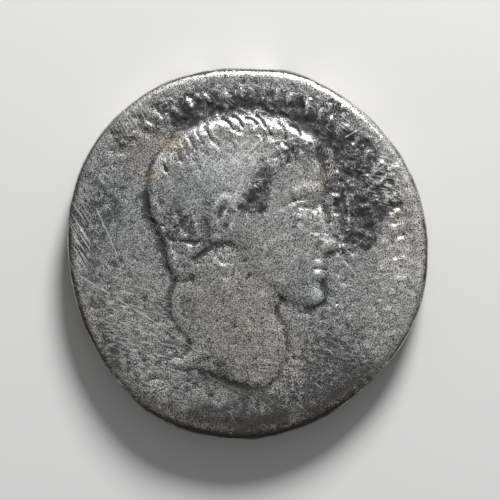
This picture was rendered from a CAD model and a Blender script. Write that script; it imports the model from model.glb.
"""A worn provincial coin of dark silver alloy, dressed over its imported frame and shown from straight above.

The coin is one closed piece. Its relief is that of the part, worked out again here on a finer mesh, with the
dents, pits, nicks and rough crusts of its wear. Shader groups give it its grain, toning, scratches and grime.
"""

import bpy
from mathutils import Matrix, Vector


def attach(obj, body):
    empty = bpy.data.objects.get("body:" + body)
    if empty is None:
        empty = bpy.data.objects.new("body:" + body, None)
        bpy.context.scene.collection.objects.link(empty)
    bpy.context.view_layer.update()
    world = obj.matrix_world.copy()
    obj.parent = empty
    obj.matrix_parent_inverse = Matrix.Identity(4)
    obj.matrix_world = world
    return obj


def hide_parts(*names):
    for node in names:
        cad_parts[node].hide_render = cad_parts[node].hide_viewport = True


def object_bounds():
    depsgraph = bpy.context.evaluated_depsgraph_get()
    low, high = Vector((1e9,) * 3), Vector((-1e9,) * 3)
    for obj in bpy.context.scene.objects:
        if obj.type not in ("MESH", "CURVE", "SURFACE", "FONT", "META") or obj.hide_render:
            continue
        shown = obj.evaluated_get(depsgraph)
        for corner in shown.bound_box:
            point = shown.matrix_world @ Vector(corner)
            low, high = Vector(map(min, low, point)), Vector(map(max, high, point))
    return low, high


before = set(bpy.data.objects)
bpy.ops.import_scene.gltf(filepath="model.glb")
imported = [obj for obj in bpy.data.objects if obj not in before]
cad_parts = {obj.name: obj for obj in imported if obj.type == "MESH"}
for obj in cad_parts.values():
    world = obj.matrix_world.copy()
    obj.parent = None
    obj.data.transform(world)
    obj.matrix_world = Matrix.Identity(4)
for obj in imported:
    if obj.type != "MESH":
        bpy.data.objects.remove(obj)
FRAME_BOX = [list(corner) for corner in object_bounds()]

import math
import random

import bmesh
import bpy
import numpy as np
from mathutils import Vector

bl_info = {
    "name": "Worn provincial coin",
    "version": (1, 0, 0),
    "blender": (4, 5, 0),
    "location": "3D View > Sidebar > Coin",
    "description": "Strikes, wears and tones an ancient silver-alloy coin",
    "category": "Object",
}

MM = 0.001

# The flan, as the part has it
FLAN_WIDTH = FRAME_BOX[1][0] - FRAME_BOX[0][0]
FLAN_THICKNESS = 2.9 * MM
EDGE_ROUNDING = 1.0 * MM
EDGE_SQUARENESS = 3.4
# The outline's radius at equal turns from +X, in shares of half the width
FLAN_OUTLINE = (
    1.000, 1.001, 1.008, 1.010, 1.020, 1.037, 1.028, 1.044, 1.057, 1.054, 1.046, 1.023,
    0.998, 0.990, 0.995, 1.016, 1.039, 1.033, 1.028, 1.010, 0.993, 0.983, 0.993, 0.999,
)

# The bust, drawn in hundredths of the head's height
HEAD_HEIGHT = 13.9 * MM
HEAD_RELIEF = 0.52 * MM
NECK_RELIEF = 0.34 * MM
HAIR_RELIEF = 0.10 * MM
CARVING_DEPTH = 0.10 * MM

# The ring of strokes on both faces
STROKE_INSET = 2.15 * MM
STROKE_LENGTH = 1.6 * MM
STROKE_WIDTH = 0.34 * MM
STROKE_RELIEF = 0.15 * MM

# The reverse, its eagle drawn in hundredths of the eagle's height
RIM_WIDTH = 1.1 * MM
RIM_SLOPE = 0.6 * MM
REVERSE_DEPTH = 0.36 * MM
EAGLE_HEIGHT = 13.5 * MM

# The mesh: cells across each face
PORTRAIT_CELLS = 262
REVERSE_CELLS = 140
# The edge is turned this many degrees from its widest line to each face, in so many rows
EDGE_TURN = 45
EDGE_ROWS = 8
# Bruises along the edge
BRUISE_SIZE = 1.4 * MM
BRUISE_DEPTH = 0.03 * MM
# How far the cells crowd together towards the crown and the crusts
CROWD_TOP = 0.14
CROWD_RIGHT = 0.05

# The face's profile, forward of the brow's upright and up from the chin
BROW_AND_CHIN = (39.6, -26.6)
FACE_PROFILE = (
    (-4.0, 79.0), (-1.4, 72.0), (-0.2, 65.0), (0.4, 59.0), (-1.0, 55.5), (-1.4, 52.5), (0.4, 47.0),
    (3.0, 40.0), (5.6, 33.6), (6.4, 31.0), (5.4, 28.8), (2.0, 27.4), (0.4, 26.2), (1.2, 23.2),
    (1.8, 20.8), (0.0, 19.0), (0.8, 17.2), (0.8, 15.2), (-1.4, 12.8), (-1.6, 10.0), (-0.2, 6.2),
    (-1.4, 2.2), (-5.2, 0.0), (-11.0, 0.4),
)

# The rest of the head's outline and its hair, from the coin's middle
JAW = ((23, -24), (14, -20), (5, -14), (-2, -7), (-7, 1.5))
NAPE = ((-12, 5), (-19, 4), (-25, -4), (-31, -11), (-37.5, -10.5))
HAIR_CREST = (
    (-42, -3), (-43, 6), (-47, 12.5), (-50.5, 21), (-52, 31), (-51.5, 40), (-48, 49), (-42, 57),
    (-32.5, 64), (-21.5, 68.5), (-10, 71), (3, 71.5), (14.5, 69.2), (24, 65.8), (32.5, 61.5), (37.5, 56.5),
)
HAIRLINE = (
    (38, 53), (33, 50), (26.5, 49), (20, 47), (15, 42.5), (11, 36), (5, 31), (-1.5, 28), (-5.5, 22),
    (-8, 29), (-14.5, 32), (-21, 26), (-22.5, 16), (-20, 6),
)
# Rows of locks: inset from the crest, spacing, length and share of the full relief
LOCK_ROWS = ((3.0, 4.8, 9.5, 1.0), (11.0, 6.5, 10.5, 0.45), (20.0, 8.5, 10.0, 0.16))
NECK = (
    (-22, 11), (-33, -7), (-39, -19), (-39.5, -29), (-36.5, -36), (-32, -42), (-29.5, -48), (-35, -54),
    (-42.5, -56), (-33, -58.5), (-22, -60.5), (-8, -66), (6.5, -68.5), (13.5, -64), (18, -57), (20, -48),
    (17.5, -38), (14, -30), (16.5, -19), (11, 4), (-4, 13),
)


# Curves and soft shapes

def eased(share):
    """From 0 to 1 with level ends."""
    share = np.clip(share, 0.0, 1.0)
    return share * share * (3.0 - 2.0 * share)


def spline(before, start, end, after, share):
    """The smooth curve between start and end at a share of the way."""
    return 0.5 * (
        2 * start
        + (end - before) * share
        + (2 * before - 5 * start + 4 * end - after) * share**2
        + (3 * start - before - 3 * end + after) * share**3
    )


def smooth_path(points, closed=False, steps=4):
    """Points along the smooth curve through the given ones."""
    points = np.array(points, float)
    last = len(points) - 1
    found = []
    for i in range(last + closed):
        near = [i - 1, i, i + 1, i + 2]
        near = [k % (last + 1) for k in near] if closed else [min(max(k, 0), last) for k in near]
        found += [spline(*points[near], step / steps) for step in range(steps)]
    return np.array(found if closed else found + [points[last]])


def nearest_on(x, y, path):
    """The distance to a path, and how far along the path that is, from 0 to 1."""
    gap = np.full(x.shape, np.inf)
    along = np.zeros(x.shape)
    spans = len(path) - 1
    for k in range(spans):
        start, way = path[k], path[k + 1] - path[k]
        share = np.clip(((x - start[0]) * way[0] + (y - start[1]) * way[1]) / (way @ way), 0, 1)
        here = np.hypot(x - start[0] - share * way[0], y - start[1] - share * way[1])
        along = np.where(here < gap, (k + share) / spans, along)
        gap = np.minimum(gap, here)
    return gap, along


def is_inside(x, y, outline):
    inside = np.zeros(x.shape, bool)
    for start, end in zip(outline, np.roll(outline, -1, axis=0)):
        crosses = (start[1] > y) != (end[1] > y)
        rise = np.where(crosses, end[1] - start[1], 1.0)
        inside ^= crosses & (x < start[0] + (y - start[1]) * (end[0] - start[0]) / rise)
    return inside


def depth_inside(x, y, outline):
    """How deep a point lies inside an outline: its distance near the edge, smooth over the middle."""
    pull = np.zeros(x.shape)
    for start, end in zip(outline, np.roll(outline, -1, axis=0)):
        way = (end - start) / np.hypot(*(end - start))
        aside = (x - start[0]) * way[1] - (y - start[1]) * way[0]
        first = (start[0] - x) * way[0] + (start[1] - y) * way[1]
        second = (end[0] - x) * way[0] + (end[1] - y) * way[1]
        square = aside**2 + 1e-6
        pull += (second / np.sqrt(square + second**2) - first / np.sqrt(square + first**2)) / square
    return np.where(is_inside(x, y, outline), np.sqrt(2 / np.maximum(pull, 1e-9)), 0.0)


def depth_in_curve(x, y, points):
    return depth_inside(x, y, smooth_path(points, closed=True))


def swell(depth, width):
    """A rounded shoulder that rises from an edge over a width."""
    share = np.clip(depth / width, 0.0, 1.0)
    return np.sqrt(1.0 - (1.0 - share) ** 2)


def mound(x, y, middle, size, turn=0.0):
    """A soft oval bump of height 1."""
    across, down = math.cos(math.radians(turn)), math.sin(math.radians(turn))
    u = (x - middle[0]) * across + (y - middle[1]) * down
    v = (y - middle[1]) * across - (x - middle[0]) * down
    return np.exp(-((u / size[0]) ** 2) - (v / size[1]) ** 2)


def ridge(x, y, points, width, fade=0.25):
    """A soft line of height 1 along a smooth path, fading over a share of its length at each end."""
    path = smooth_path(points)
    reach = 3 * width
    near = (x > path[:, 0].min() - reach) & (x < path[:, 0].max() + reach)
    near &= (y > path[:, 1].min() - reach) & (y < path[:, 1].max() + reach)
    height = np.zeros(x.shape)
    gap, along = nearest_on(x[near], y[near], path)
    height[near] = np.exp(-((gap / width) ** 2)) * eased(along / fade) * eased((1 - along) / fade)
    return height


def carved(x, y, mounds, lines=()):
    """Soft mounds (height, middle, size, turn) and soft lines (height, points, width, fade), all added up."""
    total = np.zeros(x.shape)
    for height, *shape in mounds:
        total += height * mound(x, y, *shape)
    for height, *shape in lines:
        total += height * ridge(x, y, *shape)
    return total


# The flan

def flan_reach(angle):
    """The flan's radius towards an angle."""
    count = len(FLAN_OUTLINE)
    turn = angle % (2 * math.pi) / (2 * math.pi) * count
    step = np.floor(turn).astype(int)
    shares = np.array(FLAN_OUTLINE)
    corners = [shares[(step + k) % count] for k in (-1, 0, 1, 2)]
    return FLAN_WIDTH / 2 * spline(*corners, turn - step)


def edge_profile(turn):
    """The inset and height of the rounded edge, turned in degrees from its widest line."""
    power = 2 / EDGE_SQUARENESS
    level = math.cos(math.radians(turn))
    rise = math.sin(math.radians(turn))
    inset = EDGE_ROUNDING * (1 - level**power)
    return inset, FLAN_THICKNESS / 2 * (1 + math.copysign(abs(rise) ** power, rise))


def blank_drop(inset):
    """How far the rounding has fallen from a flat face at an inset from the edge."""
    share = np.clip(1 - inset / EDGE_ROUNDING, 0.0, 1.0)
    return FLAN_THICKNESS / 2 * (1 - (1 - share**EDGE_SQUARENESS) ** (1 / EDGE_SQUARENESS))


# The bust

# The face's carving, from the brow's upright and the chin: calm, on even proportions, the eye at mid height
FACE_MOUNDS = (
    (1.0, (-24, 33), (16, 17)), (-0.5, (-27, 58), (9, 10)), (1.0, (-5, 6), (5.4, 4.5)),
    (-2.0, (-11.5, 50), (6.8, 3.6), -8), (-1.2, (-4.5, 51), (3.2, 3.2)), (1.7, (-12.5, 49), (4.5, 2.6), -6),
    (1.3, (0.6, 30.5), (2.9, 2.7)), (-0.9, (3.6, 28.4), (1.5, 0.9), 15),
)
JAW_LINES = ((-0.5, ((-10, 5), (-14, 14), (-10, 24)), 3.6),)
EYE_LINES = (
    (1.0, ((-19, 48.6), (-15, 52), (-10.5, 52.5), (-6.5, 50)), 1.0),
    (0.6, ((-18, 47.8), (-13, 45.2), (-8, 46.8)), 0.9),
    (-0.6, ((-20, 51.5), (-14, 54.8), (-7, 53.5)), 1.0),
    (0.8, ((-22, 54.5), (-15, 58.6), (-8, 60), (-1, 58)), 3.0),
)
NOSE_LINES = (
    (1.0, ((-3, 54), (0, 43), (4.5, 32.5)), 2.4),
    (-0.6, ((-1.8, 34.5), (-3.4, 30), (-1.2, 27.2)), 1.0),
    (-0.5, ((-2.6, 32.5), (-5.2, 26.5), (-5.6, 20.5)), 1.6),
)
MOUTH_LINES = (
    (0.7, ((-6, 19.6), (-2, 21.6), (1.2, 21)), 1.6), (-1.3, ((-7.2, 18.6), (-4, 19.2), (1, 18.8)), 0.8),
    (0.8, ((-5.5, 17.2), (-2, 16.2), (0.6, 16.4)), 1.7), (-0.8, ((-5.5, 13), (-1.5, 12.6)), 2.2),
)
# The worn ear, from its own middle: rolled rim, hollow, front flap and lobe
EAR_MIDDLE = (-12.5, 16.0)
EAR_MOUNDS = (
    (0.6, (0, 0), (8.5, 13)), (-1.4, (0.8, -1.2), (1.9, 3.0)), (1.0, (3.8, -1.8), (1.6, 2.4)),
    (1.5, (-2.6, -9.5), (3.0, 3.6)),
)
EAR_LINES = (
    (1.5, ((4, 4.5), (4.5, 10), (0.5, 12.8), (-4, 9.5), (-6, 2), (-5, -5)), 1.4),
    (-1.6, ((3, 6), (0.5, 8.8), (-2.5, 5), (-2.6, 0)), 1.4), (0.8, ((0.8, 5.4), (0, 1.6), (-1.2, -3.4)), 1.2),
    (-0.8, ((-7, 10.5), (-9.2, 2), (-7.6, -7.6)), 1.6),
)
# The cut under the back hair, the fold behind the ear and two small tied ends
NAPE_MOUNDS = ((1.1, (-28.5, -7), (4.0, 2.8), 35), (1.1, (-36.5, -11.5), (4.2, 2.5), -5))
NAPE_LINES = (
    (-1.0, ((-50, 18), (-44.5, 11.8), (-39.5, 7.2), (-30, 6), (-20.5, 5.5)), 1.1, 0.15),
    (-0.9, ((-22.5, 20), (-21.5, 11), (-19.5, 4.5)), 1.0),
    (-1.0, ((-20.5, 4.5), (-23.2, 0.4), (-29.4, -3.8), (-33, -9)), 1.1),
    (-0.9, ((-41, -9.5), (-38, -14), (-33, -14), (-29, -12)), 1.0),
)
# The long muscle from the ear to the throat's base, and the slack behind it
NECK_LINES = ((0.7, ((-18, 0), (-10, -22), (5, -47)), 4.2), (-0.5, ((-32, -19), (-32, -29), (-27, -38)), 5.0))


def lock(x, y, root, heading, length, bend, width):
    """A raised tress with a cut along its upper side. Heading and bend are in degrees."""
    points = [np.array(root, float)]
    for step in range(3):
        turn = math.radians(heading + bend * (step + 0.5) / 3)
        points.append(points[-1] + length / 3 * np.array([math.cos(turn), math.sin(turn)]))
    turn = math.radians(heading + bend / 2)
    aside = 1.15 * width * np.array([-math.sin(turn), math.cos(turn)])
    cut = [point + aside for point in points]
    return ridge(x, y, points, width, 0.3) - 1.2 * ridge(x, y, cut, 0.42 * width, 0.3)


def crest_locks(x, y):
    """Rows of short locks inside the hair's outer edge, cut less deeply towards the worn middle.

    At the back they hang steeply, over the top they start level and curl down.
    """
    chance = random.Random(7)
    crest = smooth_path(NAPE[-1:] + HAIR_CREST, steps=12)
    run = np.concatenate([[0.0], np.cumsum(np.hypot(*np.diff(crest, axis=0).T))])
    height = np.zeros(x.shape)
    for inset, spacing, length, strength in LOCK_ROWS:
        place = 14.0
        while place < run[-1] - 6:
            spot = [np.interp(place, run, axis) for axis in crest.T]
            ahead = np.array([np.interp(place + 1, run, axis) for axis in crest.T]) - spot
            root = np.array(spot) + inset * np.array([ahead[1], -ahead[0]]) / np.hypot(*ahead)
            top = float(eased((place / run[-1] - 0.45) / 0.3))
            heading = -64 + 42 * top + chance.uniform(-11, 11)
            size = chance.uniform(0.7, 1.25)
            height += strength * size * lock(x, y, root, heading, length * size, -12 - 46 * top, 1.5)
            place += spacing * chance.uniform(0.65, 1.45)
    return height


def fringe_locks(x, y):
    """A thick front lock along the crest's end, and pointed ones hanging from it over the forehead."""
    chance = random.Random(11)
    front = smooth_path([(39, 57), (33, 58), (26, 57.5), (19.5, 55), (14.5, 49), (10, 42), (4, 36)], steps=6)
    height = 0.9 * ridge(x, y, [(17, 65.5), (24, 63.5), (31, 60.5), (38, 56)], 2.0)
    for share in np.linspace(0, 1, 13):
        root = front[int(share * (len(front) - 1))]
        heading = -60 - 34 * share + chance.uniform(-8, 8)
        height += (1.0 - 0.5 * share) * lock(x, y, root, heading, chance.uniform(8, 10.5), -30, 1.45)
    return height


def bust_relief(x, y):
    """The bust's height over the field, in metres."""
    x, y = x / HEAD_HEIGHT * 100, y / HEAD_HEIGHT * 100
    brow, chin = BROW_AND_CHIN
    profile = [(brow + forward, chin + up) for forward, up in FACE_PROFILE]
    head = depth_in_curve(x, y, profile + list(JAW + NAPE + HAIR_CREST))
    neck = depth_in_curve(x, y, NECK)
    hair = depth_in_curve(x, y, HAIRLINE + NAPE[1:] + HAIR_CREST)
    head_height = HEAD_RELIEF * (0.45 * swell(head, 6.0) + 0.55 * swell(head, 24.0))
    neck_height = NECK_RELIEF * (0.3 * swell(neck, 6.0) + 0.7 * swell(neck, 17.0))
    face = carved(x - brow, y - chin, FACE_MOUNDS, JAW_LINES + EYE_LINES + NOSE_LINES + MOUTH_LINES)
    ear = carved(x - EAR_MIDDLE[0], y - EAR_MIDDLE[1], EAR_MOUNDS, EAR_LINES)
    features = eased(head / 3.0) * (face + ear) + carved(x, y, NAPE_MOUNDS, NAPE_LINES)
    features += eased(neck / 4.0) * carved(x, y, (), NECK_LINES)
    locks = 0.7 * eased(hair / 3.0) + eased((head + 0.5) / 3.0) * (crest_locks(x, y) + fringe_locks(x, y))
    return np.maximum(head_height, neck_height) + CARVING_DEPTH * features + HAIR_RELIEF * locks


# The ring of strokes

def stroke_ring(x, y, first, last, deepest, seed):
    """Worn strokes from one angle round to another, in shares of their full height.

    They all lean one way and none meets another. They are deepest near the given angles.
    """
    chance = random.Random(seed)
    height = np.zeros(x.shape)
    place = first
    while place < last:
        angle = math.radians(place)
        middle = float(flan_reach(np.array(angle))) - STROKE_INSET
        lean = angle + math.radians(chance.uniform(6, 20))
        half = STROKE_LENGTH / 2 * chance.uniform(0.65, 1.0)
        centre = middle * np.array([math.cos(angle), math.sin(angle)])
        way = half * np.array([math.cos(lean), math.sin(lean)])
        worn = 0.2 + 0.8 * max(math.exp(-(((place - near) / 24) ** 2)) for near in deepest)
        stroke = ridge(x, y, [centre - way, centre, centre + way], STROKE_WIDTH / 2, 0.4)
        height += worn * chance.uniform(0.7, 1.1) * stroke
        place += chance.uniform(4.2, 7.6)
    return height


def portrait_strokes(x, y):
    return stroke_ring(x, y, -52, 206, (18, 68, 118), 3)


def portrait_height(x, y):
    """The upper face: the rounded blank with the bust and the strokes on it."""
    inset = flan_reach(np.arctan2(y, x)) - np.hypot(x, y)
    relief = bust_relief(x, y) + STROKE_RELIEF * portrait_strokes(x, y)
    return FLAN_THICKNESS - blank_drop(inset) + relief * eased(inset / STROKE_INSET * 2)


# The reverse

def eagle_wing(x, y, side):
    """A half-spread wing: the arched shoulder and a row of long feathers. Side is 1 or -1."""
    x = x * side
    upper = [(5, 22), (12, 31), (22, 37), (33, 37), (41, 29), (42, 13)]
    lower = [(37, -5), (29, -19), (22, -11), (15, -1), (8, 7)]
    depth = depth_in_curve(x, y, upper + lower)
    height = 0.45 * swell(depth, 7.0) + 0.2 * ridge(x, y, [(8, 26), (20, 33), (33, 32), (38, 24)], 2.6)
    for feather in range(6):
        top = (14 + 4.4 * feather, 26 - 0.9 * feather)
        tip = (19 + 3.0 * feather, -6 - 2.2 * feather + 1.1 * feather**2)
        middle = ((top[0] + tip[0]) / 2 + 1.5, (top[1] + tip[1]) / 2)
        height -= 0.25 * ridge(x, y, [top, middle, tip], 0.9) * eased(depth / 2)
    return height


def eagle_body(x, y):
    left = [(-6, 40), (-6, 32), (-10, 22), (-12, 8), (-8, -7), (0, -15)]
    right = [(8, -7), (12, 8), (10, 22), (5, 31), (3.5, 39), (-1.5, 43)]
    depth = depth_in_curve(x, y, left + right)
    height = 0.75 * swell(depth, 7.0)
    for row in range(4):
        for step in range(-1, 2):
            tuft = (4.6 * step + 2.3 * (row % 2), 18 - 6 * row)
            height += 0.12 * mound(x, y, tuft, (1.8, 2.6)) * eased(depth / 3)
    return height


def eagle_head(x, y):
    """The head with its hooked beak, turned to the left."""
    upper = [(3.5, 40), (1.5, 45), (-3.5, 47.5), (-8.5, 45.5), (-14, 43), (-16, 38.5)]
    lower = [(-12.5, 39.5), (-9, 38), (-6, 34), (1.5, 33)]
    depth = depth_in_curve(x, y, upper + lower)
    return 0.8 * swell(depth, 4.5) - 0.3 * mound(x, y, (-5, 43), (1.2, 1.0))


def eagle_legs_and_tail(x, y):
    tail = [(-5, -10), (5, -10), (9, -34), (0, -37), (-9, -34)]
    height = 0.5 * swell(depth_in_curve(x, y, tail), 4.0)
    for feather in (-5, 0, 5):
        height -= 0.15 * ridge(x, y, [(feather * 0.4, -12), (feather, -34)], 0.8)
    for side in (-1, 1):
        height += 0.5 * mound(x, y, (9 * side, -14), (4.5, 8.5), -12 * side)
        height += 0.4 * ridge(x, y, [(10 * side, -19), (12 * side, -33)], 1.7, 0.35)
        for toe in (-4, 0, 4):
            height += 0.3 * ridge(x, y, [(12 * side, -30), (12 * side + toe, -37)], 1.2, 0.3)
    return height


def palm_branch(x, y):
    stem = smooth_path([(47, -33), (51, -14), (50, 8)], steps=6)
    height = 0.35 * ridge(x, y, [(47, -33), (51, -14), (50, 8)], 1.1, 0.1)
    for place in stem[2:]:
        for side in (-1, 1):
            leaf = [place, place + (3.2 * side, 5.5)]
            height += 0.3 * ridge(x, y, leaf, 0.9, 0.2)
    return height


def eagle_relief(x, y):
    """The eagle on its ground line with a palm branch beside it, in shares of the reverse's depth."""
    x, y = x / EAGLE_HEIGHT * 100, y / EAGLE_HEIGHT * 100
    wings = eagle_wing(x, y, 1) + eagle_wing(x, y, -1)
    height = np.maximum(wings, eagle_legs_and_tail(x, y))
    height = np.maximum(height, np.maximum(eagle_body(x, y), eagle_head(x, y)))
    ground = 0.4 * ridge(x, y, [(-38, -39), (0, -39.5), (38, -39)], 1.5, 0.05)
    return np.maximum(height, ground) + palm_branch(x, y)


def reverse_height(x, y):
    """The lower face, drawn as it is seen from below: a flat rim round a sunk field."""
    inset = flan_reach(np.arctan2(y, x)) - np.hypot(x, y)
    field = eased((inset - EDGE_ROUNDING - RIM_WIDTH) / RIM_SLOPE)
    strokes = 0.5 * stroke_ring(x / 0.86, y / 0.86, 100, 425, (150, 330), 5)
    relief = np.clip(eagle_relief(-x, y) + strokes, 0.0, 0.92)
    return blank_drop(inset) + REVERSE_DEPTH * field * (1 - relief)


# Wear and crust

# Random dents: how wide, how deep, and the seed of each layer
DENT_LAYERS = ((2.6 * MM, 0.020 * MM, 21), (0.9 * MM, 0.010 * MM, 22), (0.38 * MM, 0.006 * MM, 23))
CRUMB_SIZE = 0.36 * MM
CRUMB_DEPTH = 0.060 * MM
# Ripples, and how much deeper they are where there are streaks
RIPPLE_SIZE = 0.42 * MM
RIPPLE_DEPTH = 0.006 * MM
STREAK_DEPTH = 0.045 * MM
# How many pits each face has, and how near to the edge they go
PITTED_SHARE = 0.96
PORTRAIT_PITS = 260
REVERSE_PITS = 90
# How often the grid's heights are averaged to wear, to rub and to find hollows
WEAR_PASSES = 2
RUB_PASSES = 10
HOLLOW_PASSES = 26
# A place this far under its surroundings is a full hollow
HOLLOW_DEPTH = 0.05 * MM

# Dark cuts between the locks of the crown, each a bent line of points in millimetres
LOCK_CUTS = (
    ((-1.2, 9.9), (-0.65, 9.6), (-0.3, 8.9)), ((-0.3, 9.75), (0.35, 9.6), (0.75, 9.15)),
    ((0.5, 9.95), (1.05, 9.55), (1.25, 8.9)), ((2.0, 9.5), (2.5, 9.1), (2.7, 8.5), (2.65, 8.0)),
    ((1.3, 9.0), (1.75, 8.4)), ((-2.0, 9.75), (-1.4, 9.4), (-0.95, 8.7)), ((-3.2, 9.15), (-2.45, 7.95)),
    ((-3.75, 8.8), (-3.1, 7.7)), ((-4.25, 8.4), (-3.65, 7.3)), ((-4.75, 8.0), (-4.2, 6.9)),
    ((-5.2, 7.5), (-4.7, 6.5)), ((-6.05, 6.5), (-5.75, 5.8)), ((-7.05, 4.7), (-6.65, 4.0)),
    ((-7.05, 2.6), (-6.45, 2.15), (-5.95, 1.95)), ((3.0, 9.3), (3.6, 8.9), (3.85, 8.3)),
)
# Their width is in millimetres too
LOCK_CUT_WIDTH = 0.085
LOCK_CUT_DEPTH = 0.11 * MM

# Dark crusts: their outlines in millimetres from the coin's middle, how soft the edge is, and how dark
SIDE_CRUST = (
    (5.3, 8.9), (6.6, 9.4), (8.0, 9.1), (9.2, 8.0), (10.2, 6.3), (11.0, 4.7), (11.6, 3.2), (10.0, 2.3),
    (9.4, 0.7), (8.8, 0.0), (7.7, 0.15), (7.0, -0.5), (6.3, 0.3), (7.0, 2.2), (6.9, 4.2), (6.0, 6.4),
)
DEEP_CRUST = (
    (7.2, 6.0), (8.2, 4.6), (9.9, 4.6), (10.6, 3.2), (9.6, 2.0), (9.0, 0.6), (7.9, 0.5), (7.3, 2.2),
    (7.0, 4.2),
)
FACE_CRUST = (
    (5.6, 6.8), (7.2, 5.4), (7.6, 1.4), (7.2, -0.6), (6.5, -0.2), (6.5, 0.8), (6.1, 2.2), (5.7, 3.6),
    (5.6, 5.2),
)
TOP_CRUST = (
    (-7.8, 9.9), (-6.9, 11.4), (-5.3, 11.9), (-3.0, 12.2), (-0.4, 12.3), (2.2, 12.2), (4.0, 11.9),
    (5.7, 11.1), (7.1, 10.1), (8.1, 9.1), (6.6, 8.2), (5.0, 9.2), (3.2, 9.9), (1.8, 10.4), (-1.6, 10.4),
    (-3.0, 9.9), (-4.8, 9.2), (-6.2, 8.9),
)
HAIR_EDGE_CRUST = (
    (-6.2, 10.2), (-4.4, 11.2), (-1.2, 11.5), (1.6, 11.5), (3.8, 11.1), (5.8, 10.2), (7.0, 8.8), (5.4, 7.6),
    (4.2, 8.9), (2.2, 9.75), (0.1, 10.1), (-2.3, 9.7), (-3.75, 9.0), (-5.4, 8.2),
)
TEMPLE_CRUST = (
    (5.6, 7.3), (4.2, 8.3), (2.2, 8.2), (1.0, 7.4), (0.4, 6.2), (-0.3, 5.0), (-1.4, 3.8), (-2.0, 2.4),
    (-0.3, 1.7), (1.3, 2.2), (2.2, 3.2), (2.4, 4.3), (2.4, 5.4), (2.8, 6.4), (3.8, 6.8), (5.2, 6.1),
)
CRUSTS = (
    (SIDE_CRUST, 0.45, 0.66), (DEEP_CRUST, 0.7, 1.0), (FACE_CRUST, 0.5, 0.7), (TOP_CRUST, 1.0, 0.62),
    (HAIR_EDGE_CRUST, 0.5, 0.95), (TEMPLE_CRUST, 1.1, 0.78),
)

# Soft patches: amount, middle and size in millimetres, and turn in degrees
# Lighter or darker toning
TONE_PATCHES = (
    (0.32, (1.4, 1.0), (7.0, 6.5)), (0.15, (11.6, 4.0), (1.2, 4.0), 15), (-0.54, (-12.2, 1.0), (1.6, 4.5)),
    (-0.78, (-0.2, 9.45), (4.8, 0.6)), (-0.5, (4.6, 8.4), (2.0, 0.6), -28), (0.48, (-1.2, 5.7), (3.4, 2.8)),
    (0.36, (2.4, 0.2), (3.0, 3.0)), (0.22, (3.5, 5.1), (1.6, 1.7)), (0.7, (10.6, -1.0), (2.8, 5.6)),
    (0.18, (-1.2, 8.1), (4.6, 1.6)), (0.62, (-0.5, 7.0), (2.4, 1.1)), (0.4, (-3.1, 5.6), (1.6, 1.4)),
    (0.34, (-0.4, 3.8), (1.3, 1.2)), (0.5, (9.0, 9.4), (3.4, 0.7), -50),
    (0.35, (11.9, 5.0), (0.7, 2.6), 20), (-0.3, (-9.1, 8.3), (1.3, 0.9), 40),
    (2.5, (-8.15, -9.5), (0.16, 0.11), 40), (2.5, (-11.4, -0.1), (0.14, 0.11), -35),
    (-0.15, (1.5, 13.1), (8.0, 0.8)), (-0.28, (-6.8, 9.6), (1.4, 1.3)), (0.3, (-5.4, 7.2), (1.4, 1.0)),
    (0.22, (-6.8, 6.0), (0.9, 1.6)), (-0.8, (0.3, -12.9), (7.0, 0.9)), (-0.18, (-7.5, -5.8), (4.0, 4.0)),
    (0.3, (-5.6, 7.7), (1.2, 0.9), 35), (-0.5, (0.2, -11.6), (8.0, 2.6)),
    (-0.46, (6.0, -6.9), (3.0, 3.4), 30), (-0.18, (-4.3, -3.8), (1.2, 2.3), 12),
    (-0.9, (-4.1, 1.2), (1.8, 1.6)), (0.18, (-5.8, -1.6), (1.4, 1.4)),
    (-0.24, (-11.9, -3.4), (0.9, 1.2), 20), (-0.48, (5.6, -11.4), (2.4, 1.2), 30),
    (-0.22, (-1.5, 0.4), (1.2, 1.0)), (-0.4, (-10.0, -7.0), (1.3, 2.2), 30),
    (-0.34, (7.4, -8.2), (3.0, 2.4), 40), (-0.24, (-8.6, 8.9), (1.4, 1.2)), (-0.4, (5.5, 7.3), (1.3, 0.9)),
    (-0.3, (6.2, 10.6), (1.6, 0.9), -30), (0.2, (-1.7, -10.1), (2.6, 1.0)),
    (0.54, (10.6, -0.4), (1.0, 1.6)), (-0.34, (10.9, -6.8), (1.2, 1.6)), (-0.1, (7.8, -3.2), (1.5, 1.0)),
    (-0.16, (1.9, -4.0), (1.0, 1.4)), (-0.62, (-2.1, -8.2), (2.4, 1.0), -28),
    (0.28, (7.1, -6.6), (1.1, 1.1)), (-0.28, (-5.0, 3.4), (2.2, 2.4)), (-0.2, (-9.8, 3.5), (2.4, 5.0), 10),
)
# Warm and cool tints
TINT_PATCHES = (
    (0.8, (-5.5, 7.9), (0.8, 0.7)), (0.6, (-7.1, 5.7), (0.7, 0.6)), (0.25, (-7.6, 7.0), (2.2, 2.4), 30),
    (0.4, (5.2, 5.3), (0.8, 0.8)), (0.24, (0.3, -5.5), (3.4, 4.6), 20), (0.35, (11.0, 1.5), (1.4, 2.6)),
    (0.3, (-11.6, -4.6), (0.7, 2.4), 24), (-0.4, (-9.4, 3.6), (2.6, 3.2)), (-0.35, (-3.6, 4.6), (2.4, 2.4)),
    (-0.4, (5.0, -2.8), (1.8, 1.8)),
)
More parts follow.
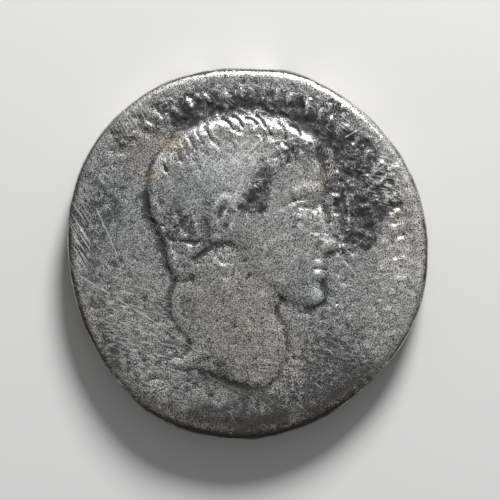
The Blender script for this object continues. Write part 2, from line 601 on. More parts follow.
# Places where the metal is crumbly
ROUGH_PATCHES = (
    (1.0, (6.9, 2.6), (1.2, 3.4)), (0.6, (4.2, 1.6), (1.5, 2.2)), (0.6, (-9.1, 8.3), (1.4, 1.0), 40),
    (0.35, (-10.4, 4.2), (1.2, 2.0)), (0.5, (4.4, -7.8), (2.0, 1.6)), (0.6, (2.6, -3.6), (2.2, 0.9), -15),
    (0.8, (8.4, 4.8), (2.6, 4.2)), (0.7, (1.6, 10.9), (5.6, 1.2), -4), (0.7, (-4.6, 10.2), (2.4, 1.4), 35),
    (0.6, (3.2, 7.6), (2.2, 0.9), -20), (0.5, (0.4, 4.4), (0.9, 2.2), -20), (0.5, (-4.4, -0.6), (1.4, 1.0)),
    (1.1, (-4.8, 1.5), (1.9, 1.2), -15), (0.6, (-2.0, -0.4), (1.0, 0.8), -40),
    (0.5, (6.6, -3.6), (1.6, 2.0)), (0.45, (10.8, -1.0), (2.0, 4.6)), (0.4, (-0.4, 8.6), (4.6, 1.8)),
)
# Places rubbed smooth
SMOOTH_PATCHES = (
    (0.65, (-0.6, 9.3), (5.2, 1.1)), (0.4, (4.4, 8.6), (2.0, 0.6), -28),
    (0.45, (9.0, 9.4), (3.6, 0.9), -50), (0.45, (-4.8, 3.6), (2.0, 2.0)),
    (0.55, (-1.3, 3.7), (1.1, 1.0)), (0.12, (-10.0, 2.0), (2.6, 3.6)),
)
# Places in the fields with short streaks
STREAK_PATCHES = (
    (0.55, (-6.5, -7.5), (4.5, 3.2), 20), (0.5, (2.0, -7.8), (4.0, 2.0)),
    (0.35, (8.6, -5.4), (2.6, 4.0), 20), (0.6, (-8.8, -3.4), (2.6, 3.0)), (1.0, (9.8, 5.6), (1.6, 2.6)),
    (0.8, (5.6, 1.2), (1.6, 1.4)),
)


def noise(x, y, size, seed, octaves=3):
    """Smooth random heights between about -1 and 1, with features of a given size."""
    chance = np.random.default_rng(seed)
    total = np.zeros(x.shape)
    for octave in range(octaves):
        table = chance.uniform(-1, 1, (101, 101))
        u = x / size * 2**octave + 50.3
        v = y / size * 2**octave + 50.7
        column, row = np.floor(u).astype(int), np.floor(v).astype(int)
        across, up = eased(u - column), eased(v - row)
        near = [table[(column + i) % 101, (row + j) % 101] for i in (0, 1) for j in (0, 1)]
        low = near[0] * (1 - across) + near[2] * across
        high = near[1] * (1 - across) + near[3] * across
        total += 0.5**octave * (low * (1 - up) + high * up)
    return total


def blurred(heights, passes):
    """A square grid's values, each averaged with its neighbours a number of times."""
    count = round(math.sqrt(len(heights)))
    grid = heights.reshape(count, count)
    for _ in range(passes):
        wide = np.pad(grid, 1, mode="edge")
        grid = (wide[:-2, 1:-1] + 2 * wide[1:-1, 1:-1] + wide[2:, 1:-1]) / 4
        wide = np.pad(grid, 1, mode="edge")
        grid = (wide[1:-1, :-2] + 2 * wide[1:-1, 1:-1] + wide[1:-1, 2:]) / 4
    return grid.ravel()


def patches(x, y, layout):
    return carved(x / MM, y / MM, layout)


def crust(x, y):
    """How thickly the dark crust lies, from 0 to 1, with ragged edges."""
    ragged = 0.35 * noise(x, y, 1.1 * MM, seed=31)
    total = np.zeros(x.shape)
    for outline, softness, amount in CRUSTS:
        inner = depth_inside(x / MM, y / MM, np.array(outline))
        total = np.maximum(total, amount * eased(inner / softness + ragged * np.minimum(softness, 0.6)))
    return total


def lock_cuts(x, y):
    """Where the cuts between the crown's locks run, from 0 to 1."""
    total = np.zeros(x.shape)
    for line in LOCK_CUTS:
        total = np.maximum(total, ridge(x / MM, y / MM, line, LOCK_CUT_WIDTH, 0.15))
    return total


def dents(x, y):
    total = np.zeros(x.shape)
    for size, depth, seed in DENT_LAYERS:
        total += depth * noise(x, y, size, seed)
    return total


def pits(x, y, count, seed):
    """Small round pits scattered over the face, in metres below it."""
    chance = random.Random(seed)
    total = np.zeros(x.shape)
    for _ in range(count):
        reach = PITTED_SHARE * FLAN_WIDTH / 2 * math.sqrt(chance.random())
        turn = chance.uniform(0, 2 * math.pi)
        middle = (reach * math.cos(turn), reach * math.sin(turn))
        size = chance.uniform(0.09, 0.22) * MM
        long = size * chance.uniform(1.0, 2.4)
        depth = chance.uniform(0.08, 0.28) * size
        total -= depth * mound(x, y, middle, (long, size), chance.uniform(0, 180))
    return total


# Faces of the coin: heights and finish maps

FINISH_MAPS = ("polish", "crust", "tint", "grime", "filed", "streaked", "coarse")


def edge_inset(x, y):
    return flan_reach(np.arctan2(y, x)) - np.hypot(x, y)


def rim_grime(x, y):
    """Brown dirt in the shelter of the rubbed rim, thickest round the lower half."""
    turn = np.degrees(np.arctan2(y, x))
    lower = np.exp(-(((turn + 90) / 68) ** 2))
    ragged = 0.14 * noise(x, y, 0.9 * MM, seed=41)
    reach = (0.9 + 1.3 * lower) * MM
    rubbed = eased((edge_inset(x, y) - 0.18 * MM) / (0.15 * MM))
    return rubbed * np.clip((0.1 + 1.1 * lower) * eased((reach - edge_inset(x, y)) / MM + ragged), 0, 1)


def filed_places(x, y):
    """Where the rim shows slanting file marks: the left side and a little at the upper left."""
    turn = np.degrees(np.arctan2(y, x)) % 360
    band = eased(edge_inset(x, y) / (0.3 * MM)) * eased((2.2 * MM - edge_inset(x, y)) / MM)
    return band * (np.exp(-(((turn - 176) / 17) ** 2)) + 0.7 * np.exp(-(((turn - 128) / 14) ** 2)))


def portrait_surface(x, y, wear):
    """The worn upper face: its heights and its finish maps."""
    inside = eased(edge_inset(x, y) / STROKE_INSET * 2)
    strokes = np.clip(portrait_strokes(x, y), 0, 1)
    thick = crust(x, y) * (1 - 0.75 * strokes)
    smooth = patches(x, y, SMOOTH_PATCHES)
    rough = np.clip(0.5 * thick + patches(x, y, ROUGH_PATCHES), 0, 1.2)
    streaked = patches(x, y, STREAK_PATCHES)
    cuts = lock_cuts(x, y)
    relief = blurred(portrait_height(x, y), WEAR_PASSES)
    relief += np.clip(1.6 * smooth, 0, 1) * (blurred(relief, RUB_PASSES) - relief)
    crumbs = CRUMB_DEPTH * rough * noise(x, y, CRUMB_SIZE, seed=33)
    dashes = np.maximum(noise(x / 2.4 + y / 8, y - x / 6, RIPPLE_SIZE, seed=35, octaves=2) - 0.2, 0)
    ripples = (RIPPLE_DEPTH + STREAK_DEPTH * streaked) * dashes
    worn = inside * (dents(x, y) + crumbs + ripples) + pits(x, y, PORTRAIT_PITS, 51)
    height = relief + wear * worn - LOCK_CUT_DEPTH * cuts
    hollow = (blurred(height, HOLLOW_PASSES) - height) / HOLLOW_DEPTH
    edges = blurred(np.clip(np.abs(hollow), 0, 1), HOLLOW_PASSES)
    hollow *= 0.75 + 0.55 * noise(x, y, 0.9 * MM, seed=43)
    finish = {
        "polish": 0.44 + patches(x, y, TONE_PATCHES) - 0.85 * hollow + 0.05 * strokes,
        "crust": thick,
        "tint": patches(x, y, TINT_PATCHES),
        "grime": 0.6 * np.clip(hollow, 0, 1) + rim_grime(x, y) + cuts,
        "filed": filed_places(x, y),
        "streaked": streaked,
        "coarse": 0.3 + 0.15 * noise(x, y, 2.2 * MM, seed=44) + 0.9 * edges + 0.35 * rough - 0.5 * smooth,
    }
    return height, finish


def reverse_surface(x, y, wear):
    """The worn lower face. Its rim stays on the resting plane."""
    relief = blurred(reverse_height(x, y), 1)
    height = np.maximum(relief + wear * (0.5 * dents(x, y) - pits(x, y, REVERSE_PITS, 53)), 0.0)
    field = eased((edge_inset(x, y) - EDGE_ROUNDING - RIM_WIDTH) / RIM_SLOPE)
    hollow = (height - blurred(height, HOLLOW_PASSES // 2)) / HOLLOW_DEPTH
    finish = {
        "polish": 0.42 - 0.12 * field - 0.5 * hollow + 0.28 * noise(x, y, 5.0 * MM, seed=63),
        "crust": 0.7 * eased(noise(x, y, 3.2 * MM, seed=61) - 0.15) * field,
        "tint": 0.5 * noise(x, y, 4.0 * MM, seed=62),
        "grime": 0.7 * np.clip(hollow, 0, 1) + 0.6 * rim_grime(x, y),
        "filed": 0.0,
        "streaked": 0.5 * field,
        "coarse": 0.3 + 0.15 * noise(x, y, 2.2 * MM, seed=64),
    }
    return height, finish


# The mesh

def place_verts(bm, verts, x, y, height, finish):
    """Moves vertices to their places and gives them their finish maps, each from -1 to 2."""
    for k, vert in enumerate(verts):
        vert.co = (x[k], y[k], height[k])
    for name in FINISH_MAPS:
        layer = bm.verts.layers.float[name]
        for vert, value in zip(verts, np.clip(finish[name] + np.zeros(x.shape), -1.0, 2.0)):
            vert[layer] = float(value)


def add_face(bm, cells, surface_at, wear):
    """A square grid pulled out to the flan's outline, raised to a worn face. Returns its border."""
    verts = bmesh.ops.create_grid(bm, x_segments=cells, y_segments=cells, size=1.0)["verts"]
    x, y = np.array([vert.co[:2] for vert in verts], float).T
    x, y = x + CROWD_RIGHT * (1 - x**2), y + CROWD_TOP * (1 - y**2)
    x, y = x * np.sqrt(1 - y**2 / 2), y * np.sqrt(1 - x**2 / 2)
    angle = np.arctan2(y, x)
    reach = np.hypot(x, y) * (flan_reach(angle) - edge_profile(EDGE_TURN)[0])
    x, y = reach * np.cos(angle), reach * np.sin(angle)
    height, finish = surface_at(x, y, wear)
    place_verts(bm, verts, x, y, height, finish)
    return list({edge for vert in verts for edge in vert.link_edges if edge.is_boundary})


def add_edge_row(bm, border, turn, wear):
    """Draws the border out into one more row of the rounded edge and returns the new border."""
    inset, height = edge_profile(turn)
    made = bmesh.ops.extrude_edge_only(bm, edges=border)["geom"]
    verts = [part for part in made if isinstance(part, bmesh.types.BMVert)]
    angle = np.array([math.atan2(vert.co.y, vert.co.x) for vert in verts])
    heights = np.full(angle.shape, height)
    bruise = noise(angle * FLAN_WIDTH / 2, heights, BRUISE_SIZE, seed=71)
    reach = flan_reach(angle) - inset - wear * BRUISE_DEPTH * (1 + bruise)
    lower = np.exp(-(((np.degrees(angle) + 90) / 75) ** 2))
    upper = float(eased(2 * height / FLAN_THICKNESS - 1))
    finish = {
        "polish": 0.5 - 0.4 * lower * (1 - upper) + 0.25 * bruise,
        "crust": 0.3 * eased(bruise - 0.5),
        "tint": 0.4,
        "grime": np.clip((0.15 + 1.1 * lower) * (1 - 0.9 * upper) - 0.3 * bruise, 0, 1),
        "filed": 0.0,
        "streaked": 0.0,
        "coarse": 0.12 + 0.08 * bruise,
    }
    place_verts(bm, verts, reach * np.cos(angle), reach * np.sin(angle), heights, finish)
    return [part for part in made if isinstance(part, bmesh.types.BMEdge) and part.is_boundary]


def fit_to_frame(bm):
    """Stretches the mesh the last few microns, so that it fills the frame's box and no more."""
    places = np.array([vert.co for vert in bm.verts])
    low, high = places.min(axis=0), places.max(axis=0)
    want_low, want_high = np.array(FRAME_BOX[0]), np.array(FRAME_BOX[1])
    size = (want_high - want_low) / (high - low)
    bmesh.ops.translate(bm, verts=bm.verts, vec=Vector(-low))
    bmesh.ops.scale(bm, verts=bm.verts, vec=Vector(size))
    bmesh.ops.translate(bm, verts=bm.verts, vec=Vector(want_low))


def coin_mesh(wear):
    bm = bmesh.new()
    for name in FINISH_MAPS:
        bm.verts.layers.float.new(name)
    border = add_face(bm, PORTRAIT_CELLS, portrait_surface, wear)
    portrait_count = len(bm.faces)
    for row in range(1, EDGE_ROWS):
        border = add_edge_row(bm, border, EDGE_TURN - 2 * EDGE_TURN * row / EDGE_ROWS, wear)
    edge_count = len(bm.faces)
    reverse_border = add_face(bm, REVERSE_CELLS, reverse_surface, wear)
    reverse_count = len(bm.faces)
    bmesh.ops.bridge_loops(bm, edges=border + reverse_border)
    for k, face in enumerate(bm.faces):
        face.smooth = True
        on_portrait, on_reverse = k < portrait_count, edge_count <= k < reverse_count
        face.material_index = 0 if on_portrait else 2 if on_reverse else 1
    bmesh.ops.recalc_face_normals(bm, faces=bm.faces)
    fit_to_frame(bm)
    mesh = bpy.data.meshes.new("coin_worn")
    bm.to_mesh(mesh)
    bm.free()
    return mesh


# Shader building

# Where a Mix node keeps its colour sockets
COLOUR_INPUTS = (6, 7)
COLOUR_OUTPUT = 2


def plug(tree, value, socket):
    """Links a socket's value in, or sets a plain one."""
    if isinstance(value, bpy.types.NodeSocket):
        tree.links.new(value, socket)
    else:
        socket.default_value = value


def calc(tree, operation, *values, clamp=False):
    """A Math node on sockets or plain numbers. Returns its output."""
    made = tree.nodes.new("ShaderNodeMath")
    made.operation = operation
    made.use_clamp = clamp
    for value, socket in zip(values, made.inputs):
        plug(tree, value, socket)
    return made.outputs[0]


def vector_calc(tree, operation, *values, output="Vector"):
    """A Vector Math node. Returns its vector, or its value for a length or a dot product."""
    made = tree.nodes.new("ShaderNodeVectorMath")
    made.operation = operation
    for value, socket in zip(values, made.inputs):
        plug(tree, value, socket)
    return made.outputs[output]


def mixed(tree, share, first, second, blend="MIX"):
    """A Mix node on two colours. Returns the colour."""
    made = tree.nodes.new("ShaderNodeMix")
    made.data_type = "RGBA"
    made.blend_type = blend
    made.clamp_factor = True
    plug(tree, share, made.inputs["Factor"])
    plug(tree, first, made.inputs[COLOUR_INPUTS[0]])
    plug(tree, second, made.inputs[COLOUR_INPUTS[1]])
    return made.outputs[COLOUR_OUTPUT]


def ramped(tree, value, low, high):
    """A smooth step from 0 at low to 1 at high."""
    made = tree.nodes.new("ShaderNodeMapRange")
    made.interpolation_type = "SMOOTHSTEP"
    plug(tree, value, made.inputs["Value"])
    plug(tree, low, made.inputs["From Min"])
    plug(tree, high, made.inputs["From Max"])
    return made.outputs["Result"]


def noise_at(tree, place, size, detail=2.0, roughness=0.55):
    """A Noise Texture whose features are a given size in metres. Returns its value."""
    made = tree.nodes.new("ShaderNodeTexNoise")
    plug(tree, scaled(tree, place, 1 / size), made.inputs["Vector"])
    made.inputs["Scale"].default_value = 1.0
    made.inputs["Detail"].default_value = detail
    made.inputs["Roughness"].default_value = roughness
    return made.outputs["Fac"]


def scaled(tree, place, factor):
    made = tree.nodes.new("ShaderNodeVectorMath")
    made.operation = "SCALE"
    plug(tree, place, made.inputs[0])
    plug(tree, factor, made.inputs["Scale"])
    return made.outputs["Vector"]


def object_place(tree):
    return tree.nodes.new("ShaderNodeTexCoord").outputs["Object"]


def new_group(name, inputs, outputs):
    """A node group with named sockets. Returns its tree, its inputs and its outputs.

    An input's default shows its kind: a number, a vector of three or a colour of four.
    """
    kinds = {3: "NodeSocketVector", 4: "NodeSocketColor"}
    tree = bpy.data.node_groups.new(name, "ShaderNodeTree")
    for label, value in inputs.items():
        kind = kinds[len(value)] if isinstance(value, tuple) else "NodeSocketFloat"
        tree.interface.new_socket(name=label, in_out="INPUT", socket_type=kind).default_value = value
    for label in outputs:
        kind = "NodeSocketColor" if label == "Color" else "NodeSocketFloat"
        tree.interface.new_socket(name=label, in_out="OUTPUT", socket_type=kind)
    return tree, tree.nodes.new("NodeGroupInput").outputs, tree.nodes.new("NodeGroupOutput").inputs


def placed(tree, group, **values):
    """Puts a group into a tree. Its inputs are named with underscores for spaces."""
    made = tree.nodes.new("ShaderNodeGroup")
    made.node_tree = group
    for name, value in values.items():
        plug(tree, value, made.inputs[name.replace("_", " ")])
    return made.outputs


# Effects that the coin's materials share

# The tints multiply the metal's colour, and no channel of it goes over the lightest
WARM_TINT = (1.0, 0.84, 0.62, 1)
COOL_TINT = (0.84, 0.94, 1.0, 1)
LIGHTEST = (0.95, 0.95, 0.95)


def grain_group():
    """The fine worn grain: tiny bumps under a net of raised lines, how light they are, and small pits."""
    tree, given, wanted = new_group(
        "Metal grain", {"Size": 0.066 * MM, "Depth": 0.135 * MM}, ("Height", "Speckle", "Pits")
    )
    place = scaled(tree, object_place(tree), calc(tree, "DIVIDE", 1.0, given["Size"]))
    fine = noise_at(tree, place, 1.0, 2.0, 0.6)
    broad = noise_at(tree, place, 3.0, 2.0, 0.6)
    middling = noise_at(tree, vector_calc(tree, "ADD", place, (37, 11, 5)), 1.9, 1.0)
    away = calc(tree, "ABSOLUTE", calc(tree, "SUBTRACT", middling, 0.5))
    net = calc(tree, "MULTIPLY_ADD", away, -9.0, 1.0, clamp=True)
    pits = ramped(tree, noise_at(tree, object_place(tree), 0.42 * MM, 1.0), 0.68, 0.76)
    both = calc(tree, "SUBTRACT", calc(tree, "MULTIPLY_ADD", broad, 1.2, fine), pits)
    both = calc(tree, "MULTIPLY_ADD", net, 0.2, both)
    plug(tree, calc(tree, "MULTIPLY", both, given["Depth"]), wanted["Height"])
    both = calc(tree, "MULTIPLY_ADD", fine, 2.6, calc(tree, "MULTIPLY", net, 0.42))
    plug(tree, calc(tree, "ADD", both, -1.0, clamp=True), wanted["Speckle"])
    plug(tree, pits, wanted["Pits"])
    return tree


def scratch_group():
    """One straight cut between two points, fading at its ends."""
    tree, given, wanted = new_group(
        "Scratch", {"From": (0, 0, 0), "To": (MM, 0, 0), "Width": 0.05 * MM}, ("Mask",)
    )
    place = vector_calc(tree, "MULTIPLY", object_place(tree), (1, 1, 0))
    away = vector_calc(tree, "SUBTRACT", place, given["From"])
    way = vector_calc(tree, "SUBTRACT", given["To"], given["From"])
    along = vector_calc(tree, "DOT_PRODUCT", away, way, output="Value")
    length = vector_calc(tree, "DOT_PRODUCT", way, way, output="Value")
    share = calc(tree, "DIVIDE", along, length, clamp=True)
    gap = vector_calc(tree, "SUBTRACT", away, scaled(tree, way, share))
    gap = vector_calc(tree, "LENGTH", gap, output="Value")
    line = calc(tree, "SUBTRACT", 1.0, ramped(tree, gap, 0.0, given["Width"]))
    ends = ramped(tree, calc(tree, "MULTIPLY", share, calc(tree, "SUBTRACT", 1.0, share)), 0.0, 0.08)
    plug(tree, calc(tree, "MULTIPLY", line, ends), wanted["Mask"])
    return tree


def file_mark_group():
    """Many short parallel strokes, as a file leaves them."""
    tree, given, wanted = new_group(
        "File marks",
        {"Turn": 0.0, "Spacing": 0.12 * MM, "Shortness": (0.06, 1, 0), "Sparseness": 0.52},
        ("Mask",),
    )
    turned = tree.nodes.new("ShaderNodeVectorRotate")
    turned.rotation_type = "Z_AXIS"
    plug(tree, object_place(tree), turned.inputs["Vector"])
    plug(tree, given["Turn"], turned.inputs["Angle"])
    place = vector_calc(tree, "MULTIPLY", turned.outputs["Vector"], given["Shortness"])
    place = scaled(tree, place, calc(tree, "DIVIDE", 1.0, given["Spacing"]))
    level = noise_at(tree, place, 1.0, 1.0)
    dense = calc(tree, "ADD", given["Sparseness"], 0.12)
    plug(tree, ramped(tree, level, given["Sparseness"], dense), wanted["Mask"])
    return tree


def silver_group():
    """Worn silver from bright to toned, with grime in its hollows and dark crust over it."""
    tree, given, wanted = new_group(
        "Worn silver",
        {
            "Polish": 0.5, "Crust": 0.0, "Tint": 0.0, "Grime": 0.0, "Speckle": 0.5, "Coarse": 0.5,
            "Pits": 0.0, "Cuts": 0.0, "Bright": (0.7, 0.7, 0.68, 1), "Toned": (0.2, 0.2, 0.2, 1),
            "Grime colour": (0.05, 0.04, 0.03, 1), "Crust colour": (0.05, 0.05, 0.05, 1),
        },
        ("Color", "Roughness", "Metallic", "Crust mask"),
    )
    place = object_place(tree)
    mottle = calc(tree, "SUBTRACT", noise_at(tree, place, 1.2 * MM, 4.0, 0.65), 0.5)
    spots = calc(tree, "SUBTRACT", given["Speckle"], 0.5)
    polish = calc(tree, "ADD", mottle, given["Polish"])
    small_mottle = calc(tree, "SUBTRACT", noise_at(tree, place, 0.45 * MM, 2.0), 0.5)
    uneven = calc(tree, "MULTIPLY_ADD", given["Coarse"], 1.9, 0.05)
    polish = calc(tree, "MULTIPLY_ADD", small_mottle, uneven, polish)
    polish = calc(tree, "MULTIPLY_ADD", given["Pits"], -0.4, polish)
    frosty = ramped(tree, polish, 0.8, 1.8)
    polish = calc(tree, "MINIMUM", polish, 1.0)
    colour = mixed(tree, polish, given["Toned"], given["Bright"])
    strength = calc(tree, "MULTIPLY_ADD", given["Coarse"], 8.6, 2.8)
    strength = calc(tree, "MULTIPLY", strength, calc(tree, "MULTIPLY_ADD", polish, 0.7, 0.75))
    shade = calc(tree, "MULTIPLY", calc(tree, "POWER", 2.0, calc(tree, "MULTIPLY", spots, strength)), 0.98)
    colour = vector_calc(tree, "MINIMUM", scaled(tree, colour, shade), LIGHTEST)
    colour = mixed(tree, calc(tree, "MULTIPLY", given["Cuts"], 0.75), colour, given["Bright"])
    warm = calc(tree, "MAXIMUM", given["Tint"], 0.0)
    cool = calc(tree, "MULTIPLY", calc(tree, "MINIMUM", given["Tint"], 0.0), -1.0)
    colour = mixed(tree, warm, colour, WARM_TINT, "MULTIPLY")
    colour = mixed(tree, cool, colour, COOL_TINT, "MULTIPLY")
    ragged = noise_at(tree, place, 0.30 * MM, 3.0, 0.65)
    dirty = calc(tree, "MULTIPLY", given["Grime"], ramped(tree, ragged, 0.05, 0.5), clamp=True)
    dirty = calc(tree, "MULTIPLY", dirty, calc(tree, "MULTIPLY_ADD", given["Speckle"], -0.3, 1.0))
    colour = mixed(tree, dirty, colour, given["Grime colour"])
    edge = calc(tree, "MULTIPLY_ADD", calc(tree, "SUBTRACT", ragged, 0.5), 1.1, given["Crust"])
    covered = ramped(tree, edge, 0.22, 0.62)
    clusters = ramped(tree, noise_at(tree, place, 0.7 * MM, 1.0), 0.40, 0.60)
    bare = calc(tree, "MULTIPLY", ramped(tree, given["Speckle"], 0.5, 0.9), clusters)
    bare = calc(tree, "MULTIPLY", bare, calc(tree, "MULTIPLY_ADD", given["Crust"], -0.8, 1.12))
    covered = calc(tree, "MULTIPLY", covered, calc(tree, "SUBTRACT", 1.0, bare))
    colour = mixed(tree, covered, colour, given["Crust colour"])
    plug(tree, colour, wanted["Color"])
    roughness = calc(tree, "MULTIPLY_ADD", polish, -0.16, 0.52)
    roughness = calc(tree, "MULTIPLY_ADD", dirty, 0.25, roughness)
    plug(tree, calc(tree, "MULTIPLY_ADD", covered, 0.10, roughness), wanted["Roughness"])
    metallic = calc(tree, "MULTIPLY_ADD", dirty, -0.7, 1.0)
    metallic = calc(tree, "MULTIPLY_ADD", given["Cuts"], -0.3, metallic)
    metallic = calc(tree, "MULTIPLY_ADD", frosty, -0.5, metallic)
    plug(tree, calc(tree, "MULTIPLY_ADD", covered, -0.45, metallic, clamp=True), wanted["Metallic"])
    plug(tree, covered, wanted["Crust mask"])
    return tree


# Materials

# File marks, streaks and hairlines: which way they run, how far apart, how short and how sparse
FILE_MARKS = {"Turn": math.radians(58), "Spacing": 0.13 * MM}
STREAKS = {"Turn": math.radians(12), "Spacing": 0.17 * MM, "Shortness": (0.22, 1, 0)}
HAIRLINES = {"Turn": math.radians(40), "Spacing": 0.15 * MM, "Shortness": (0.07, 1, 0), "Sparseness": 0.66}
# Long scratches on the portrait side: from, to and width in millimetres
LONG_SCRATCHES = (
    ((-12.3, -1.4), (-6.6, -4.9), 0.10), ((-6.9, -4.7), (-3.4, -7.1), 0.06), ((5.9, 0.6), (8.5, -2.3), 0.08),
    ((6.9, 8.3), (8.3, 9.1), 0.08), ((8.9, 5.7), (10.0, 6.5), 0.10), ((-0.3, 6.9), (1.3, 8.5), 0.06),
    ((0.0, 6.7), (1.6, 8.3), 0.06), ((1.2, 7.9), (3.9, 8.4), 0.07), ((-10.9, 3.4), (-9.2, -0.4), 0.06),
)


def scratch_mask(tree, group, scratches):
    """A list of straight cuts laid over each other."""
    total = 0.0
    for start, end, width in scratches:
        start = (start[0] * MM, start[1] * MM, 0)
        end = (end[0] * MM, end[1] * MM, 0)
        mask = placed(tree, group, From=start, To=end, Width=width * MM)["Mask"]
        total = calc(tree, "MAXIMUM", total, mask)
    return total


def new_material(name):
    material = bpy.data.materials.new(name)
    material.use_nodes = True
    return material, material.node_tree, material.node_tree.nodes["Principled BSDF"]


def finish_map(tree, name):
    made = tree.nodes.new("ShaderNodeAttribute")
    made.attribute_name = name
    return made.outputs["Fac"]


def coin_material(name, groups, finish, scratches):
    """The worn silver of one side of the coin, with the finish maps that its mesh carries."""
    material, tree, shader = new_material(name)
    grain = placed(tree, groups["grain"], Size=finish.grain_size, Depth=finish.grain_depth)
    filed = placed(tree, groups["files"], **FILE_MARKS)["Mask"]
    filed = calc(tree, "MULTIPLY", filed, finish_map(tree, "filed"))
    streaks = placed(tree, groups["files"], **STREAKS)["Mask"]
    streaks = calc(tree, "MULTIPLY", streaks, finish_map(tree, "streaked"))
    hairlines = placed(tree, groups["files"], **HAIRLINES)["Mask"]
    broken = ramped(tree, noise_at(tree, object_place(tree), 0.8 * MM), 0.28, 0.42)
    long_cuts = calc(tree, "MULTIPLY", scratch_mask(tree, groups["scratch"], scratches), broken)
    hairlines = calc(tree, "MAXIMUM", hairlines, long_cuts)
    cuts = calc(tree, "MAXIMUM", calc(tree, "MAXIMUM", filed, streaks), hairlines)
    maps = {name.capitalize(): finish_map(tree, name) for name in ("polish", "tint", "grime", "coarse")}
    silver = placed(
        tree,
        groups["silver"],
        **maps,
        Crust=calc(tree, "MULTIPLY_ADD", cuts, -0.6, finish_map(tree, "crust")),
        Speckle=grain["Speckle"],
        Pits=grain["Pits"],
        Cuts=cuts,
        Bright=(*finish.bright_colour, 1),
        Toned=(*finish.toned_colour, 1),
        Grime_colour=(*finish.grime_colour, 1),
        Crust_colour=(*finish.crust_colour, 1),
    )
    for output, socket in (("Color", "Base Color"), ("Roughness", "Roughness"), ("Metallic", "Metallic")):
        plug(tree, silver[output], shader.inputs[socket])
    rougher = calc(tree, "MULTIPLY_ADD", maps["Coarse"], 0.75, 0.35)
    rougher = calc(tree, "ADD", silver["Crust mask"], rougher)
    height = calc(tree, "MULTIPLY", grain["Height"], rougher)
    height = calc(tree, "MULTIPLY_ADD", cuts, -finish.scratch_depth, height)
    bump = tree.nodes.new("ShaderNodeBump")
    plug(tree, height, bump.inputs["Height"])
    plug(tree, bump.outputs["Normal"], shader.inputs["Normal"])
    return material


# The stage

# The floor lies this far under the rim, so that the two never mix
FLOOR_GAP = 0.01 * MM
FLOOR_HALF = 0.6
KEY_DISTANCE = 0.30
KEY_SIZE = 0.10
# The camera gives its lens and its sensor in millimetres
SENSOR_WIDTH = 36


def aim(thing, target):
    direction = Vector(target) - thing.location
    thing.rotation_euler = direction.to_track_quat("-Z", "Y").to_euler()


def linked(name, data):
    """A new object with its data, linked to the scene."""
    made = bpy.data.objects.new(name, data)
    bpy.context.scene.collection.objects.link(made)
    return made


def add_floor(colour):
    bm = bmesh.new()
    bmesh.ops.create_grid(bm, x_segments=1, y_segments=1, size=FLOOR_HALF)
    bmesh.ops.translate(bm, verts=bm.verts, vec=(0, 0, FRAME_BOX[0][2] - FLOOR_GAP))
    mesh = bpy.data.meshes.new("floor")
    bm.to_mesh(mesh)
    bm.free()
    floor = linked("floor", mesh)
    material, _, shader = new_material("pale_paper")
    shader.inputs["Base Color"].default_value = (*colour, 1)
    shader.inputs["Roughness"].default_value = 0.9
    mesh.materials.append(material)


def add_light(name, turn, lift, distance, size, power):
    """A round soft lamp aimed at the coin. Turn runs from +X, lift from the floor."""
    data = bpy.data.lights.new(name, "AREA")
    data.shape = "DISK"
    data.size = size
    data.energy = power
    lamp = linked(name, data)
    flat = distance * math.cos(lift)
    lamp.location = (flat * math.cos(turn), flat * math.sin(turn), distance * math.sin(lift))
    aim(lamp, (0, 0, FLAN_THICKNESS))


def add_camera(lens, frame_width, centre):
    """Straight above the coin, with the photo's width across its widest line."""
    data = bpy.data.cameras.new("camera")
    data.lens = lens / MM
    data.sensor_width = SENSOR_WIDTH
    data.clip_start = 0.01
    camera = linked("camera", data)
    distance = frame_width * data.lens / data.sensor_width
    camera.location = (centre[0], centre[1], FLAN_THICKNESS / 2 + distance)
    bpy.context.scene.camera = camera


def add_world(strength):
    world = bpy.data.worlds.new("soft_room")
    world.use_nodes = True
    background = world.node_tree.nodes["Background"]
    background.inputs["Color"].default_value = (1, 1, 1, 1)
    background.inputs["Strength"].default_value = strength
    bpy.context.scene.world = world
    bpy.context.scene.view_settings.view_transform = "Standard"


# The sizes and colours that a user may change

def plain_length(name, text, default):
    return bpy.props.FloatProperty(name=name, description=text, default=default, unit="LENGTH", precision=6)


def plain_angle(name, text, degrees):
    default = math.radians(degrees)
    return bpy.props.FloatProperty(name=name, description=text, default=default, subtype="ANGLE")


def plain_colour(name, text, default):
    return bpy.props.FloatVectorProperty(name=name, description=text, default=default, subtype="COLOR")


class CoinFinish(bpy.types.PropertyGroup):
    wear: bpy.props.FloatProperty(
        name="Wear", description="How strong the dents, pits and crumbs are", default=1.0, min=0.0, max=2.0
    )
    grain_size: plain_length("Grain size", "Width of the finest bumps", 0.066 * MM)
    grain_depth: plain_length("Grain depth", "Height of the finest bumps", 0.135 * MM)
    scratch_depth: plain_length("Scratch depth", "Depth of the scratches", 0.012 * MM)
    bright_colour: plain_colour("Bright metal", "Silver on the worn high places", (0.78, 0.775, 0.75))
    toned_colour: plain_colour("Toned metal", "Silver that has darkened", (0.115, 0.115, 0.116))
    grime_colour: plain_colour("Grime", "Brown dirt in the hollows", (0.022, 0.018, 0.013))
    crust_colour: plain_colour("Crust", "The dark crust", (0.032, 0.032, 0.035))


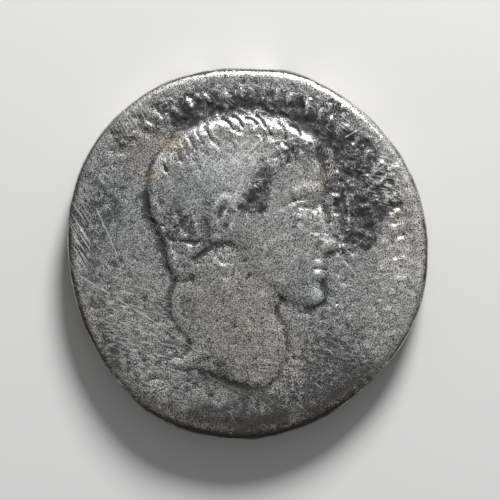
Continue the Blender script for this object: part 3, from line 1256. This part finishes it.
class CoinStage(bpy.types.PropertyGroup):
    frame_width: plain_length("Frame width", "Width of the view across the coin", 36.05 * MM)
    frame_centre: bpy.props.FloatVectorProperty(
        name="Frame centre", description="The point under the camera", default=(0.16 * MM, 0.27 * MM), size=2,
        subtype="XYZ", unit="LENGTH"
    )
    lens: plain_length("Lens", "Focal length of the camera", 0.200)
    key_turn: plain_angle("Key light turn", "Where the key light stands, from +X", 76)
    key_lift: plain_angle("Key light lift", "Its angle above the floor", 31)
    key_power: bpy.props.FloatProperty(
        name="Key light power", description="Its strength", default=1.45, subtype="POWER", unit="POWER"
    )
    room_light: bpy.props.FloatProperty(
        name="Room light", description="Brightness of the soft light all round", default=0.24
    )
    floor_colour: plain_colour("Floor", "Colour of the floor", (0.66, 0.66, 0.655))


class COIN_OT_strike(bpy.types.Operator):
    """Makes the worn coin with its three silver finishes and rides it on the frame"""

    bl_idname = "coin.strike"
    bl_label = "Strike the coin"

    def execute(self, context):
        finish = context.scene.coin_finish
        groups = {
            "grain": grain_group(),
            "scratch": scratch_group(),
            "files": file_mark_group(),
            "silver": silver_group(),
        }
        mesh = coin_mesh(finish.wear)
        for side, scratches in (("portrait", LONG_SCRATCHES), ("edge", ()), ("reverse", ())):
            mesh.materials.append(coin_material(side + "_silver", groups, finish, scratches))
        coin = linked("coin_worn", mesh)
        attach(coin, "root")
        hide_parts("coin")
        return {"FINISHED"}


class COIN_OT_stage(bpy.types.Operator):
    """Adds the pale floor, the soft lights and the camera straight above"""

    bl_idname = "coin.stage"
    bl_label = "Set the stage"

    def execute(self, context):
        stage = context.scene.coin_stage
        add_floor(stage.floor_colour)
        add_light("key_light", stage.key_turn, stage.key_lift, KEY_DISTANCE, KEY_SIZE, stage.key_power)
        add_world(stage.room_light)
        add_camera(stage.lens, stage.frame_width, stage.frame_centre)
        return {"FINISHED"}


class COIN_PT_panel(bpy.types.Panel):
    """Lists the coin's steps and its values"""

    bl_label = "Worn coin"
    bl_idname = "COIN_PT_panel"
    bl_space_type = "VIEW_3D"
    bl_region_type = "UI"
    bl_category = "Coin"

    def draw(self, context):
        for operator, values in ((COIN_OT_strike, "coin_finish"), (COIN_OT_stage, "coin_stage")):
            box = self.layout.box()
            group = getattr(context.scene, values)
            for name in group.__annotations__:
                box.prop(group, name)
            box.operator(operator.bl_idname)


CLASSES = (CoinFinish, CoinStage, COIN_OT_strike, COIN_OT_stage, COIN_PT_panel)


def register():
    for kind in CLASSES:
        bpy.utils.register_class(kind)
    bpy.types.Scene.coin_finish = bpy.props.PointerProperty(type=CoinFinish)
    bpy.types.Scene.coin_stage = bpy.props.PointerProperty(type=CoinStage)


def unregister():
    del bpy.types.Scene.coin_stage
    del bpy.types.Scene.coin_finish
    for kind in reversed(CLASSES):
        bpy.utils.unregister_class(kind)


def main():
    register()
    bpy.ops.coin.strike()
    bpy.ops.coin.stage()


if __name__ == "__main__":
    main()
